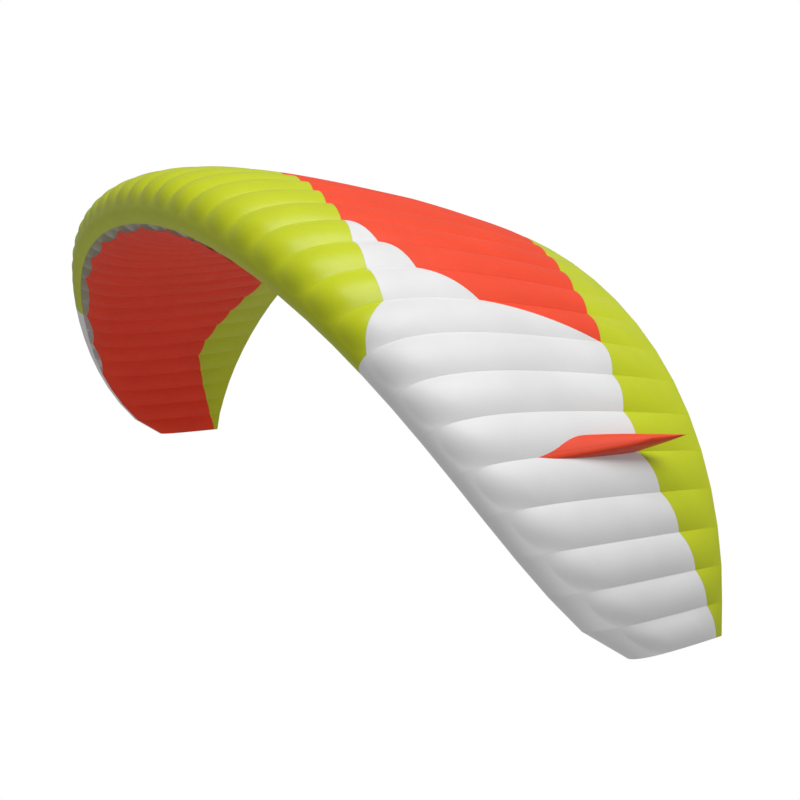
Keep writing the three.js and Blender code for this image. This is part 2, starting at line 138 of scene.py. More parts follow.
def camber_line(t):
    """Height of the section's middle line at a share t of the chord, as a share of the chord."""
    front = CAMBER / CAMBER_AT**2 * (2 * CAMBER_AT * t - t * t)
    rear = CAMBER / (1 - CAMBER_AT) ** 2 * (1 - 2 * CAMBER_AT + 2 * CAMBER_AT * t - t * t)
    return np.where(t < CAMBER_AT, front, rear)


def section(row, q):
    """y and height of a place on the outline of the ribs in these rows."""
    t = q * q
    thick = half_thickness(t, ribs["u"][row]) * ribs["chord"][row] + EDGE_HALF * t
    height = camber_line(t) * ribs["chord"][row] + np.where(q < 0, -1, 1) * thick
    return ribs["nose"][row] + t * ribs["chord"][row], height


CENTRE = HALF_CELLS          # row of the centre rib in the table
origin_y, origin_z = section(CENTRE, -math.sqrt(MOUNT_AT))
ORIGIN = np.array([0, origin_y, origin_z])


def on_plane(row, y, height, across=0.0):
    """The point of a rib's plane at y and height, moved across the plane."""
    point = np.stack(np.broadcast_arrays(ribs["x"][row], y, ribs["z"][row]), -1)
    point = point + ribs["out"][row] * np.expand_dims(height, -1)
    return point + ribs["along"][row] * np.expand_dims(across, -1) - ORIGIN


def on_rib(row, q):
    """A point of the ribs' outline."""
    return on_plane(row, *section(row, q))


def outward_on_rib(row, q):
    """Direction out of the wing at a rib, square to its outline."""
    y0, h0 = section(row, np.clip(q - SLOPE_STEP, -1, 1 - SLOPE_STEP))
    y1, h1 = section(row, np.clip(q + SLOPE_STEP, SLOPE_STEP - 1, 1))
    length = np.hypot(y1 - y0, h1 - h0)
    run_y, run_h = (y1 - y0) / length, (h1 - h0) / length
    out = ribs["out"][row] * np.expand_dims(run_y, -1)
    out[..., 1] -= run_h
    return out


print("the mount lies", round(float(ORIGIN[1]), 3), "m behind the foremost point of the nose")

# %% [markdown]
# ## The crown of a cell
# Between two ribs the sail is drawn straight across and then raised by a crown, which is what the
# air does to a cell. The crown rises behind the nose, stays full over the middle and falls away
# to the trailing edge. A cloth simulation would find much the same curve, only slower and less
# evenly, and the seams between the panels would drift.

# %% Places on the sails
BILLOW = 0.135               # height of a cell's crown, as a share of the cell's width
LOWER_BILLOW = 0.65          # the lower sail's crown against the upper one's
CROWN_TIP, CROWN_POWER = 0.45, 5.5         # where a crown starts at the tip, as a place q
CROWN_BELOW, CROWN_RISE = 0.2, 0.22        # where it starts below, and how far on it is full
CROWN_ROUND = 0.06           # beside the ribs it starts this much later, so its front is round
CROWN_FRONT_POWER = 1.3      # above 1, a crown starts more gently
BILLOW_REAR, BILLOW_REAR_POWER = 0.7, 0.65 # from here it falls away to the trailing edge
ROUNDING = 1e-9              # keeps a station that lies on a rib in the right cell


def billow(width, u, share, q):
    """Height of the crown over the straight line between two ribs, at a share u of the span."""
    start = np.where(q < 0, CROWN_BELOW, CROWN_TIP * u**CROWN_POWER)
    start = start + CROWN_ROUND * (2 * share - 1) ** 2
    front = np.sin(math.pi / 2 * np.clip((np.abs(q) - start) / CROWN_RISE, 0, 1))
    front = front**CROWN_FRONT_POWER
    rear = np.clip((1 - q * q) / (1 - BILLOW_REAR), 0, 1) ** BILLOW_REAR_POWER
    side = np.where(q < 0, LOWER_BILLOW, 1)
    return BILLOW * width * 4 * share * (1 - share) * front * rear * side


def on_sail(station, q):
    """A point of the sail at a station along the span."""
    station, q = np.broadcast_arrays(np.asarray(station, float), np.asarray(q, float))
    low = np.minimum(np.floor(station + ROUNDING), HALF_CELLS - 1).astype(int)
    share = np.maximum(station - low, 0)
    a, b = low + CENTRE, low + 1 + CENTRE
    part = share[..., None]
    point = on_rib(a, q) * (1 - part) + on_rib(b, q) * part
    outward = outward_on_rib(a, q) * (1 - part) + outward_on_rib(b, q) * part
    outward /= np.linalg.norm(outward, axis=-1, keepdims=True)
    width = np.hypot(ribs["x"][b] - ribs["x"][a], ribs["z"][b] - ribs["z"][a])
    u = ribs["u"][a] * (1 - share) + ribs["u"][b] * share
    return point + outward * billow(width, u, share, q)[..., None]


print("crown of the middle cells:", round(float(BILLOW * ribs["x"][CENTRE + 1]) * 1000), "mm")

# %% [markdown]
# ## Where the panels meet
# The colours are separate panels, sewn edge to edge. A maker marks each seam on a few ribs and
# draws it straight over the cloth from mark to mark, so every seam here is a short list of ribs,
# counted from the centre, and shares of their chords. Under the nose the sails have two free
# edges, the lip in front and the lower sail behind it, and the gap between them lets the air in.

# %% Seams
SEAMS = {
    "nose": {0: 0.365, 4: 0.32, 7: 0.232, 10: 0.12, 11: 0.008, 19: 0.008},
    "wedge": {0: 0.365, 4: 0.32, 7: 0.232, 9: 0.292, 10: 0.402, 11: 0.757},
    "rear": {4: 1, 5: 0.98, 11: 0.757, 13: 0.68, 14: 0.665, 16: 0.747, 18: 0.86, 19: 0.927},
    "lip": {0: 0.026, 12: 0.026, 15: 0.02, 19: 0.02},
}
BELLY_BACK = 0.012           # the lower rear band starts this much further back
FRONT_PANEL_END = 11         # last rib of the lime front panel and of the orange panel
WEDGE_END = 7                # rib where the white panel comes to its inner point
BAND_END = 4                 # rib where the rear bands come to their inner point
SEAM_GAP = 0.0005            # between two panels that are sewn edge to edge
INLET_FORWARD, INLET_BACK = 0.014, 0.03    # depth of the inlet, shallow at some ribs
FORWARD_RIBS = [0, 2, 4, 6, 8, 11, 13]
INLET_END = 15               # from this rib outboard the sails are sewn together at the nose
INLET_SCALLOP = 0.004        # the lower sail's front edge curves back between open ribs


def seam_at(name, station):
    """A seam's share of the chord, which runs evenly over the cloth between the marks."""
    if name == "belly":
        return np.minimum(seam_at("rear", station) + BELLY_BACK, 1)
    marks = SEAMS[name]
    place = np.abs(station)
    at = np.interp(place, list(marks), np.sqrt(list(marks.values()))) ** 2
    if name == "wedge":
        at = np.where(place > FRONT_PANEL_END, seam_at("rear", station), at)
    return at


def inlet_at(station):
    """The lower sail's front edge, as a share of the chord."""
    numbers = np.arange(HALF_CELLS + 1)
    depth = np.where(np.isin(numbers, FORWARD_RIBS), INLET_FORWARD, INLET_BACK)
    depth = np.interp(np.abs(station), numbers, np.where(numbers < INLET_END, depth, 0))
    share = np.abs(station) % 1
    return seam_at("lip", station) + depth + (depth > 0) * INLET_SCALLOP * 4 * share * (1 - share)


print("marks on the rear seam:", len(SEAMS["rear"]))

# %% [markdown]
# ## The edges of the panels
# Two panels that are sewn together must not share their cloth, or they would flicker where they
# meet. So each edge is trimmed by half of a small gap, measured along the sail. An edge is a
# function that gives a place for every station, and a panel is told its front and rear edges.

# %% Edges
def trimmed(station, q, direction):
    """q moved half the seam gap forward (-1) or back (+1) along the sail."""
    run = on_sail(station, q + SLOPE_STEP) - on_sail(station, q - SLOPE_STEP)
    speed = np.linalg.norm(run, axis=-1) / (2 * SLOPE_STEP)
    return q + direction * SEAM_GAP / 2 / speed


def seam_edge(side, name, direction):
    """An edge of the upper (1) or lower (-1) sail along a seam."""
    return lambda s: trimmed(s, side * np.sqrt(seam_at(name, s)), direction)


def to_rear(edge, side):
    """The edge, run out to the trailing edge where there is no band behind it."""
    return lambda s: np.where(np.abs(s) < BAND_END, side, edge(s))


def lower_trailing_edge(station):
    """Where both sails end, on the lower sail."""
    return -np.ones_like(station)


def inlet_edge(station):
    """The lower sail's front edge, behind the air inlets."""
    return trimmed(station, -np.sqrt(inlet_at(station)), -1)


lip_edge = seam_edge(-1, "lip", 1)
print("the lip's place on the centre rib:", round(float(lip_edge(np.array(0.0))), 3))

# %% [markdown]
# ## Cutting a panel
# A panel starts as a flat grid of cloth, with a dozen strips or more for each cell, closer
# together beside the ribs, where the sail folds down into the seam. Each point of the grid is then
# laid on the wing. A subdivided plane would spread its points evenly and blunt those creases.

# %% A grid of places
STRIPS = 18                  # strips of an upper sail across each cell
LOWER_STRIPS = 12
EVENNESS = 0.5               # 1 spaces the strips evenly, 0 crowds them most beside the ribs
ON_A_RIB = 0.01              # a station this near a rib counts as lying on it, in cells


def stations_between(first, last, strips):
    """Stations from one rib to another, closer together beside the ribs."""
    even = np.arange(strips) / strips
    crowded = (1 - np.cos(math.pi * even)) / 2
    shares = EVENNESS * even + (1 - EVENNESS) * crowded
    return np.append((np.arange(first, last)[:, None] + shares).ravel(), last)


def rows_between(stations, front, rear, rows):
    """For each station, places from the panel's front edge to its rear edge."""
    f, r = front(stations)[:, None], rear(stations)[:, None]
    return f + (r - f) * np.linspace(0, 1, rows + 1)


def rib_distance(stations, across):
    """Distance over the cloth to the nearest rib seam, from the distances across it."""
    columns = np.flatnonzero(np.abs(stations - np.round(stations)) < ON_A_RIB)
    columns = np.unique(np.concatenate([[0], columns, [len(stations) - 1]]))
    after = np.clip(np.searchsorted(columns, np.arange(len(stations))), 1, len(columns) - 1)
    before_rib, next_rib = across[columns[after - 1]], across[columns[after]]
    return np.minimum(np.abs(across - before_rib), np.abs(next_rib - across))


print("strips over two cells:", stations_between(0, 2, STRIPS).size - 1)

# %% [markdown]
# ## From a grid to a sheet of cloth
# The grid becomes a mesh. Two lengths are kept with every point, its distance from the nearest
# rib seam and from the panel's nearest edge, and the UV map holds real metres of cloth, so that
# the weave and the stitches can follow the cloth. Solidify gives the sheet its thickness,
# inwards, because the outside is the side that was measured.

# %% A sheet from a grid
CREASE = math.radians(20)    # a fold sharper than this shows as an edge
pieces = {}


def keep_gaps(mesh, rib_gap, edge_gap):
    """Keeps two lengths with every point: from the nearest rib seam, and from the nearest edge."""
    for label, values in (("rib_gap", rib_gap), ("edge_gap", edge_gap)):
        mesh.attributes.new(label, "FLOAT", "POINT").data.foreach_set("value", values)


def cloth_object(name, mesh):
    """An object for one piece of cloth, added to the scene and to the list of pieces."""
    piece = bpy.data.objects.new(f"{name}_cloth", mesh)
    pieces[name] = piece
    bpy.context.collection.objects.link(piece)
    return piece


def select_only(piece):
    """Makes a piece the only one that the next operators act on."""
    bpy.ops.object.select_all(action="DESELECT")
    bpy.context.view_layer.objects.active = piece
    piece.select_set(True)


def sheet_object(name, points, kept, across, along, rib_gap, edge_gap):
    """A mesh object from a grid of points, without the quads that aren't kept."""
    index = np.arange(points[..., 0].size).reshape(points.shape[:2])
    corners = [index[:-1, :-1], index[1:, :-1], index[1:, 1:], index[:-1, 1:]]
    quads = np.stack(corners, -1)[kept]
    used, quads = np.unique(quads, return_inverse=True)
    quads = quads.reshape(-1, 4)
    mesh = bpy.data.meshes.new(f"{name}_cloth")
    mesh.from_pydata(points.reshape(-1, 3)[used].tolist(), [], quads.tolist())
    uv = np.stack([across.ravel()[used], along.ravel()[used]], -1)[quads.ravel()]
    mesh.uv_layers.new(name="cloth").uv.foreach_set("vector", uv.ravel())
    gaps = [gap.ravel()[used].astype(np.float32) for gap in (rib_gap, edge_gap)]
    keep_gaps(mesh, *gaps)
    return cloth_object(name, mesh)


def finish_sheet(piece, thickness, offset):
    """Gives the sheet its thickness and shades it with its creases kept."""
    select_only(piece)
    solidify = piece.modifiers.new("Cloth", "SOLIDIFY")
    solidify.thickness = thickness
    solidify.offset = offset
    solidify.use_even_offset = True
    bpy.ops.object.modifier_apply(modifier=solidify.name)
    bpy.ops.object.shade_smooth_by_angle(angle=CREASE)


def stand_in(piece, name, slot):
    """Puts a piece of cloth in the place of a solid. The whole wing is one body."""
    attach(piece, "root")
    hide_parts(name)
    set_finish(piece, slot)


# %% [markdown]
# ## A panel
# A panel's flat size is what a maker would cut: its lengths over the cloth. It rests on the ribs
# that it is sewn to, and takes the place of the solid of that name.

# %% Measure and place a panel
def lengths(points, axis):
    """Distance over the cloth from the first point, along one axis of the grid."""
    steps = np.linalg.norm(np.diff(points, axis=axis), axis=-1)
    return np.insert(np.cumsum(steps, axis=axis), 0, 0, axis=axis)


def rib_name(rib):
    """The solid's name of a rib."""
    if rib == 0:
        return "rib_centre"
    return f"rib_{'left' if rib > 0 else 'right'}_{abs(rib):02d}"


def reach(side, first, last):
    """First and last rib of a panel on the left (1) or right (-1) half."""
    return (first, last) if side > 0 else (-last, -first)


def set_back_at_centre(stations, first, last):
    """Moves the edge on the centre rib half a seam gap away from the other half's panel."""
    half_gap = SEAM_GAP / 2 / ribs["x"][CENTRE + 1]
    stations = stations.copy()
    if first == 0:
        stations[0] += half_gap
    if last == 0:
        stations[-1] -= half_gap
    return stations


def add_panel(name, stations, q, kept, slot):
    """One panel of sail, laid on the wing, with the facts that its cloth needs."""
    points = on_sail(stations[:, None], q)
    across, along = lengths(points, 0), lengths(points, 1)
    first = np.argmax(np.vstack([kept, kept[-1:]]), axis=1)    # the first row that is kept
    start = along[np.arange(len(stations)), first][:, None]
    edge_gap = np.minimum(np.abs(along - start), along[:, -1:] - along)
    rib_gap = rib_distance(stations, across)
    piece = sheet_object(name, points, kept, across, along, rib_gap, edge_gap)
    finish_sheet(piece, CLOTH, -1)
    width, length = float(across[-1].max()), float((along[:, -1:] - start).max())
    width = max(width, float(across[-1, first[-1]:].max()))
    stand_in(piece, name, slot)


def simple_panel(name, first, last, strips, front, rear, rows, slot):
    """A panel whose front and rear edges run all the way from its first rib to its last."""
    stations = stations_between(first, last, strips)
    q = rows_between(stations, front, rear, rows)
    stations = set_back_at_centre(stations, first, last)
    kept = np.ones((len(stations) - 1, rows), bool)
    add_panel(name, stations, q, kept, slot)


# %% [markdown]
# ## The upper sail
# Each half has a lime front panel that wraps round the nose, an orange panel behind it, a white
# side panel and a lime band along the rear. Outboard of rib 11 the white panel wraps the nose
# itself, so its grid has some extra rows that are kept only there.

# %% Sew the upper sail
SIDES = {"left": 1, "right": -1}
FRONT_ROWS, CENTRE_ROWS, BAND_ROWS = 48, 78, 40          # rows of quads along the chord
NOSE_ROWS, SIDE_ROWS = 14, 90              # of the side panel, round the nose and behind it

for word, side in SIDES.items():
    simple_panel(f"upper_front_panel_{word}", *reach(side, 0, FRONT_PANEL_END), STRIPS,
                 lip_edge, seam_edge(1, "nose", -1), FRONT_ROWS, "sail_lime")
    simple_panel(f"upper_centre_panel_{word}", *reach(side, 0, FRONT_PANEL_END), STRIPS,
                 seam_edge(1, "wedge", 1), to_rear(seam_edge(1, "rear", -1), 1), CENTRE_ROWS,
                 "sail_orange")
    simple_panel(f"upper_rear_band_{word}", *reach(side, BAND_END, HALF_CELLS), STRIPS,
                 seam_edge(1, "rear", 1), np.ones_like, BAND_ROWS, "sail_lime")

for word, side in SIDES.items():
    stations = stations_between(*reach(side, WEDGE_END, HALF_CELLS), STRIPS)
    behind_nose = seam_edge(1, "nose", 1)
    nose_rows = rows_between(stations, lip_edge, behind_nose, NOSE_ROWS)
    side_rows = rows_between(stations, behind_nose, seam_edge(1, "wedge", -1), SIDE_ROWS)
    q = np.hstack([nose_rows[:, :-1], side_rows])
    kept = np.ones((len(stations) - 1, q.shape[1] - 1), bool)
    middles = np.abs(stations[:-1] + stations[1:]) / 2
    kept[middles < FRONT_PANEL_END, :NOSE_ROWS] = False
    add_panel(f"upper_side_panel_{word}", stations, q, kept, "sail_white")

# %% [markdown]
# ## The lower sail
# The red lower sail starts behind the air inlets with a scalloped edge, and a lime band runs along
# the rear of it. It bulges less than the upper sail, because the air under the wing presses back.

# %% Sew the lower sail
BELLY_ROWS, BELLY_BAND_ROWS = 84, 36

for word, side in SIDES.items():
    simple_panel(f"lower_main_panel_{word}", *reach(side, 0, HALF_CELLS), LOWER_STRIPS,
                 to_rear(seam_edge(-1, "belly", 1), -1), inlet_edge, BELLY_ROWS, "sail_red")
    simple_panel(f"lower_rear_band_{word}", *reach(side, BAND_END, HALF_CELLS), LOWER_STRIPS,
                 lower_trailing_edge, seam_edge(-1, "belly", -1), BELLY_BAND_ROWS, "sail_lime")

# %% [markdown]
# ## The ribs
# A rib is a flat sheet of stiffer cloth, cut to the section and sewn between the upper and lower
# sails. It is drawn as columns from the lower edge to the upper one. Its edge is set in by the
# thickness of the sails, and a little more where a swept sail slopes across it, so that the two
# never cut each other. The ribs at the tips close the wing and are white, as the sails there are.

# %% Cut the ribs
RIB_COLUMNS, RIB_ROWS = 64, 6
RIB_FRONT, RIB_END = 0.008, 0.97   # q of the first column, and share of the chord of the last
SEAT_GAP = 0.0003            # between a rib or winglet and the sail that it is sewn to
RIB_INSET = 0.0023           # from the outside of the sail to the edge of a rib
TIP_SHIFT = 0.0011           # the tip ribs lie just inside the ends of the sails
SLOPE_LOOK = 0.3             # the sail's slope is read this far from a rib, in cells


def rib_inset(rib, q):
    """How far a rib's edge lies in from the outside of the sail."""
    row = rib + CENTRE
    here, outward = on_rib(row, q), outward_on_rib(row, q)
    thick = 2 * CLOTH if abs(rib) == HALF_CELLS else CLOTH
    deepest = np.zeros_like(q)
    for step in (-SLOPE_LOOK, SLOPE_LOOK):
        if abs(rib + step) > HALF_CELLS:
            continue
        move = on_sail(rib + step, q) - here
        slope = -(move * outward).sum(-1) / np.abs(move @ ribs["along"][row])
        deepest = np.maximum(deepest, slope * thick)
    return RIB_INSET + deepest


def rib_edge(rib, q, across):
    """Points of a rib's edge, set in from the sail."""
    row = rib + CENTRE
    inset = rib_inset(rib, q)[:, None]
    return on_plane(row, *section(row, q), across) - outward_on_rib(row, q) * inset


def add_rib(rib):
    """One rib, from its lower edge to its upper one."""
    at_tip = abs(rib) == HALF_CELLS
    q = np.linspace(RIB_FRONT, math.sqrt(RIB_END), RIB_COLUMNS)
    across = np.full(RIB_COLUMNS, -np.sign(rib) * TIP_SHIFT if at_tip else 0.0)
    bottom, top = rib_edge(rib, -q, across), rib_edge(rib, q, across)
    share = np.linspace(0, 1, RIB_ROWS + 1)[None, :, None]
    points = bottom[:, None] * (1 - share) + top[:, None] * share
    kept = np.ones((RIB_COLUMNS - 1, RIB_ROWS), bool)
    along, high = lengths(points, 0), lengths(points, 1)
    edge_gap = np.minimum(high, high[:, -1:] - high)
    piece = sheet_object(rib_name(rib), points, kept, along, high, np.ones_like(high), edge_gap)
    finish_sheet(piece, CLOTH, 0)
    stand_in(piece, rib_name(rib), "sail_white" if at_tip else "rib_grey")


for rib in rib_numbers.tolist():
    add_rib(rib)
print("cut", len(rib_numbers), "ribs")

# %% [markdown]
# ## The winglets
# A winglet is a small swept fin on the upper sail, sewn from two skins and blown up by air from
# the cell below. It is fattest at its foot and runs out to a sharp seam all round. A bevelled
# block could be bent into one, but a formula keeps both skins smooth right up to the seam.

# %% The shape of a fin
WINGLET_RIB = 14
FIN_INBOARD = 0.050          # how far the fin's middle stands inboard of its rib
FIN_FRONT, FIN_REAR = 0.238, 0.655         # ends of the foot, as shares of the chord
CREST_AT, CREST_HIGH = 0.666, 0.217        # rear end of the leading edge
FIN_RISE = 0.7               # a lower power curves the leading edge more
TIP_AT, TIP_HIGH = 0.793, 0.200            # the rear tip, as a share of the chord and a height
FIN_HALF_THICKNESS = 0.078   # at the foot
FIN_FULLNESS = 0.58          # below 1, the fin is fattest in front of its middle, and blunt


def between(a, b, share):
    """A value a share of the way from a to b."""
    return a + (b - a) * share


def on_fin(row, side, high, along, face):
    """A point on a face (1 or -1) of a fin, at a height over the rib and a share of its depth."""
    nose, chord = float(ribs["nose"][row]), float(ribs["chord"][row])
    up = max(high, 0)
    climb = (up / CREST_HIGH) ** FIN_RISE
    front = between(nose + FIN_FRONT * chord, nose + CREST_AT * chord, climb)
    rear = between(nose + FIN_REAR * chord, nose + TIP_AT * chord, up / TIP_HIGH)
    y = between(front, rear, along)
    t = min(max((y - nose) / chord, FIN_FRONT), FIN_REAR)
    slim = math.sqrt(max(1 - up / TIP_HIGH, 0))
    swell = max(math.sin(math.pi * min(along, 1) ** FIN_FULLNESS), 0) ** FIN_FULLNESS
    inboard = side * FIN_INBOARD * (1 - up / TIP_HIGH)
    across = swell * (face * FIN_HALF_THICKNESS * slim - inboard)
    rib_height = float(section(row, math.sqrt(t))[1])
    return Vector(on_plane(row, y, rib_height + high, across))


print("a fin stands", TIP_HIGH * 1000, "mm high at its tip")

# %% [markdown]
# ## The fin's foot
# The sail under a fin bulges, so its foot isn't a straight line. Each line up the fin's side is
# followed down until it meets the sail, and the foot is seated there.

# %% Find the foot
FIN_SEARCH = (-0.08, 0.12)   # heights between which a line is followed to the sail
FIN_HALVINGS = 24            # steps of that search


def sail_tree(names):
    """A tree of the faces of these pieces, that rays can be cast at."""
    points, faces = [], []
    for name in names:
        mesh = pieces[name].data
        start = len(points)
        points += [v.co.copy() for v in mesh.vertices]
        faces += [[start + i for i in p.vertices] for p in mesh.polygons]
    return BVHTree.FromPolygons(points, faces)


def foot_height(tree, row, side, along, face):
    """The height at which this line of the fin leaves the sail."""
    up = Vector(ribs["out"][row])
    low, high = FIN_SEARCH
    for _ in range(FIN_HALVINGS):
        middle = (low + high) / 2
        point = on_fin(row, side, middle, along, face)
        hit = tree.ray_cast(point + up, -up)[0]
        above = hit is None or (point - hit).dot(up) > SEAT_GAP
        low, high = (low, middle) if above else (middle, high)
    return high


print("heights searched, in metres:", FIN_SEARCH)

# %% [markdown]
# ## Sewing the fin
# The fin is built up in rings from its foot to its upper seam, like the hoops of a basket. The
# points along each seam lie in one place, so they are welded, and the normals are made to point
# outwards.

# %% Sew the winglets
FIN_LEVELS, FIN_POINTS = 30, 44            # rings of points, and points on each face of a ring
FIN_CROWDING = 0.5           # 0 spaces the rings evenly, 1 crowds them most at the top
FIN_CHORD = 0.6              # about the mean length of a fin, for the seam round it
FIN_CREASE = math.radians(35)
FIN_WELD = 0.0002            # points nearer than this are made one
NO_RIB = 1.0                 # a distance to the next rib that is too far to show a seam


def add_winglet(word, side):
    """One fin, built up in rings from its foot on the sail to its seam at the top."""
    name = f"winglet_{word}"
    row = CENTRE + side * WINGLET_RIB
    tree = sail_tree([f"upper_side_panel_{word}", f"upper_rear_band_{word}"])
    ring = [(n / FIN_POINTS, 1) for n in range(FIN_POINTS)]
    ring += [(1 - n / FIN_POINTS, -1) for n in range(FIN_POINTS)]
    feet = [foot_height(tree, row, side, along, face) for along, face in ring]
    points, places = [], []
    for level in range(FIN_LEVELS + 1):
        share = level / FIN_LEVELS
        share = between(share, math.sin(share * math.pi / 2), FIN_CROWDING)
        for (along, face), foot in zip(ring, feet):
            high = TIP_HIGH if level == FIN_LEVELS else between(foot, TIP_HIGH, share)
            points.append(on_fin(row, side, high, along, face))
            places.append((points[-1].y, high))
    count = len(ring)
    quads = []
    for level in range(FIN_LEVELS):
        for n in range(count):
            a, b = level * count + n, level * count + (n + 1) % count
            quads.append((a, b, b + count, a + count))
    quads.append(tuple(reversed(range(count))))    # closes the foot
    mesh = bpy.data.meshes.new(f"{name}_cloth")
    mesh.from_pydata(points, [], quads)
    layer = mesh.uv_layers.new(name="cloth")
    for corner, loop in zip(layer.uv, mesh.loops):
        corner.vector = places[loop.vertex_index]
    edge_gap = [min(along, 1 - along) * FIN_CHORD for along, _ in ring]
    keep_gaps(mesh, [NO_RIB] * len(points), edge_gap * (FIN_LEVELS + 1))
    piece = cloth_object(name, mesh)
    select_only(piece)
    bpy.ops.object.mode_set(mode="EDIT")
    bpy.ops.mesh.select_all(action="SELECT")
    bpy.ops.mesh.remove_doubles(threshold=FIN_WELD)
    bpy.ops.mesh.normals_make_consistent(inside=False)
    bpy.ops.object.mode_set(mode="OBJECT")
    bpy.ops.object.shade_smooth_by_angle(angle=FIN_CREASE)
    stand_in(piece, name, "sail_orange")
    print(piece.name, "has", len(mesh.polygons), "faces")


for word, side in SIDES.items():
    add_winglet(word, side)

# %% [markdown]
# ## Helpers for nodes
# Every material here is built from the same few nodes, so each gets a short helper: one that adds
# a node, one for sums, one for a smooth ramp, one for an empty node group and one for its links.

# %% Helpers for nodes
def add_node(tree, kind, inputs=None, **settings):
    """A node with its settings and unlinked input values."""
    node = tree.nodes.new(kind)
    for key, value in settings.items():
        setattr(node, key, value)
    for key, value in (inputs or {}).items():
        node.inputs[key].default_value = value
    return node


def maths(tree, operation, a, b=None):
    """A Math node. a and b are sockets to link, or numbers."""
    node = add_node(tree, "ShaderNodeMath", operation=operation)
    for socket, value in zip(node.inputs, (a, b)):
        if isinstance(value, bpy.types.NodeSocket):
            tree.links.new(value, socket)
        elif value is not None:
            socket.default_value = value
    return node.outputs[0]


def ramp(tree, value, low, high, to_low=0.0, to_high=1.0):
    """Goes smoothly from to_low to to_high as value goes from low to high."""
    node = add_node(tree, "ShaderNodeMapRange", interpolation_type="SMOOTHSTEP", inputs={
        "From Min": low, "From Max": high, "To Min": to_low, "To Max": to_high,
    })
    link_inputs(tree, node, Value=value)
    return node.outputs["Result"]


def new_group(name, inputs, outputs):
    """An empty node group. An input with no value is a vector, and every output is a number."""
    tree = bpy.data.node_groups.new(name, "ShaderNodeTree")
    for label, value in inputs.items():
        kind = "NodeSocketVector" if value is None else "NodeSocketFloat"
        socket = tree.interface.new_socket(name=label, in_out="INPUT", socket_type=kind)
        if value is not None:
            socket.default_value = value
    for label in outputs:
        tree.interface.new_socket(name=label, in_out="OUTPUT", socket_type="NodeSocketFloat")
    return tree, tree.nodes.new("NodeGroupInput"), tree.nodes.new("NodeGroupOutput")


def link_inputs(tree, node, **sockets):
    """Links sockets to a node's inputs of these names."""
    for label, socket in sockets.items():
        tree.links.new(socket, node.inputs[label])


# %% [markdown]
# ## The weave
# Sails are ripstop: a fine plain weave with a thicker thread every few millimetres, coated so that
# it holds air, which gives it a soft gloss. An image of cloth would do, but a pattern worked out
# from real metres stays sharp at any distance. It is a node group, so that every colour shares it.

# %% The weave
WEAVE_SQUARE = 0.006         # between two thick threads
THREAD_FROM, THREAD_TO = 0.40, 0.49        # a thread's flank, from the middle of a square
GRAIN_SCALE, GRAIN_HEIGHT = 900.0, 0.5     # the fine weave, against the height of a thread


def make_weave():
    """Thick threads in squares over a fine grain."""
    tree, start, end = new_group(
        "Ripstop weave", {"Cloth": None, "Square": WEAVE_SQUARE}, ["Thread", "Height"])
    split = add_node(tree, "ShaderNodeSeparateXYZ")
    tree.links.new(start.outputs["Cloth"], split.inputs[0])
    lines = []
    for axis in ("X", "Y"):
        squares = maths(tree, "DIVIDE", split.outputs[axis], start.outputs["Square"])
        place = maths(tree, "FRACT", squares)
        off = maths(tree, "ABSOLUTE", maths(tree, "SUBTRACT", place, 0.5))
        lines.append(ramp(tree, off, THREAD_FROM, THREAD_TO))
    thread = maths(tree, "MAXIMUM", *lines)
    grain = add_node(tree, "ShaderNodeTexNoise", inputs={"Scale": GRAIN_SCALE, "Detail": 1.0})
    link_inputs(tree, grain, Vector=start.outputs["Cloth"])
    fine = maths(tree, "MULTIPLY", grain.outputs[0], GRAIN_HEIGHT)
    height = maths(tree, "ADD", thread, fine)
    link_inputs(tree, end, Thread=thread, Height=height)
    return tree


weave_group = make_weave()
print("node group:", weave_group.name)

# %% [markdown]
# ## The stitched seams
# Each sail is folded down at its edge and at every rib, and a row of stitches runs beside the fold.
# Modelled stitches would be far too many, so they are a pattern. It reads the two lengths that
# were kept with every point, so the rows follow the seams wherever those go.

# %% The stitched seams
STITCH_LENGTH = 0.004
STITCH_FROM_SEAM = 0.004     # from a seam to the row of stitches beside it
STITCH_HALF, STITCH_FADE = 0.0004, 0.0009  # half width of a row, and where it has faded out
DASH_HALF, DASH_FADE = 0.30, 0.42          # half length of a stitch, as shares of its step
FOLD_WIDTH = 0.011           # the sail dips this far beside a seam
STITCH_HEIGHT = 0.4          # against the depth of the fold


def make_seam():
    """A row of stitches and the dip of the cloth, from the distance to the seam."""
    tree, start, end = new_group(
        "Stitched seam",
        {"Gap": 1.0, "Along": 0.0, "Row": STITCH_FROM_SEAM, "Stitch": STITCH_LENGTH},
        ["Thread", "Fold", "Height"])
    from_row = maths(tree, "SUBTRACT", start.outputs["Gap"], start.outputs["Row"])
    row = ramp(tree, maths(tree, "ABSOLUTE", from_row), STITCH_HALF, STITCH_FADE, 1.0, 0.0)
    steps = maths(tree, "DIVIDE", start.outputs["Along"], start.outputs["Stitch"])
    from_middle = maths(tree, "SUBTRACT", maths(tree, "FRACT", steps), 0.5)
    dash = ramp(tree, maths(tree, "ABSOLUTE", from_middle), DASH_HALF, DASH_FADE, 1.0, 0.0)
    thread = maths(tree, "MULTIPLY", row, dash)
    # the dip of the cloth beside a seam; the cloth material also lays a painted shade along it
    fold = ramp(tree, start.outputs["Gap"], 0.0, FOLD_WIDTH, 1.0, 0.0)
    height = maths(tree, "SUBTRACT", maths(tree, "MULTIPLY", thread, STITCH_HEIGHT), fold)
    link_inputs(tree, end, Thread=thread, Fold=fold, Height=height)
    return tree


seam_group = make_seam()
print("node group:", seam_group.name)

# %% [markdown]
# ## The tone
# Cloth in use is never quite even: its colour drifts over the wing, and fine wrinkles run through
# it. Both are a soft noise on the object's own coordinates, which crosses the panels unbroken.

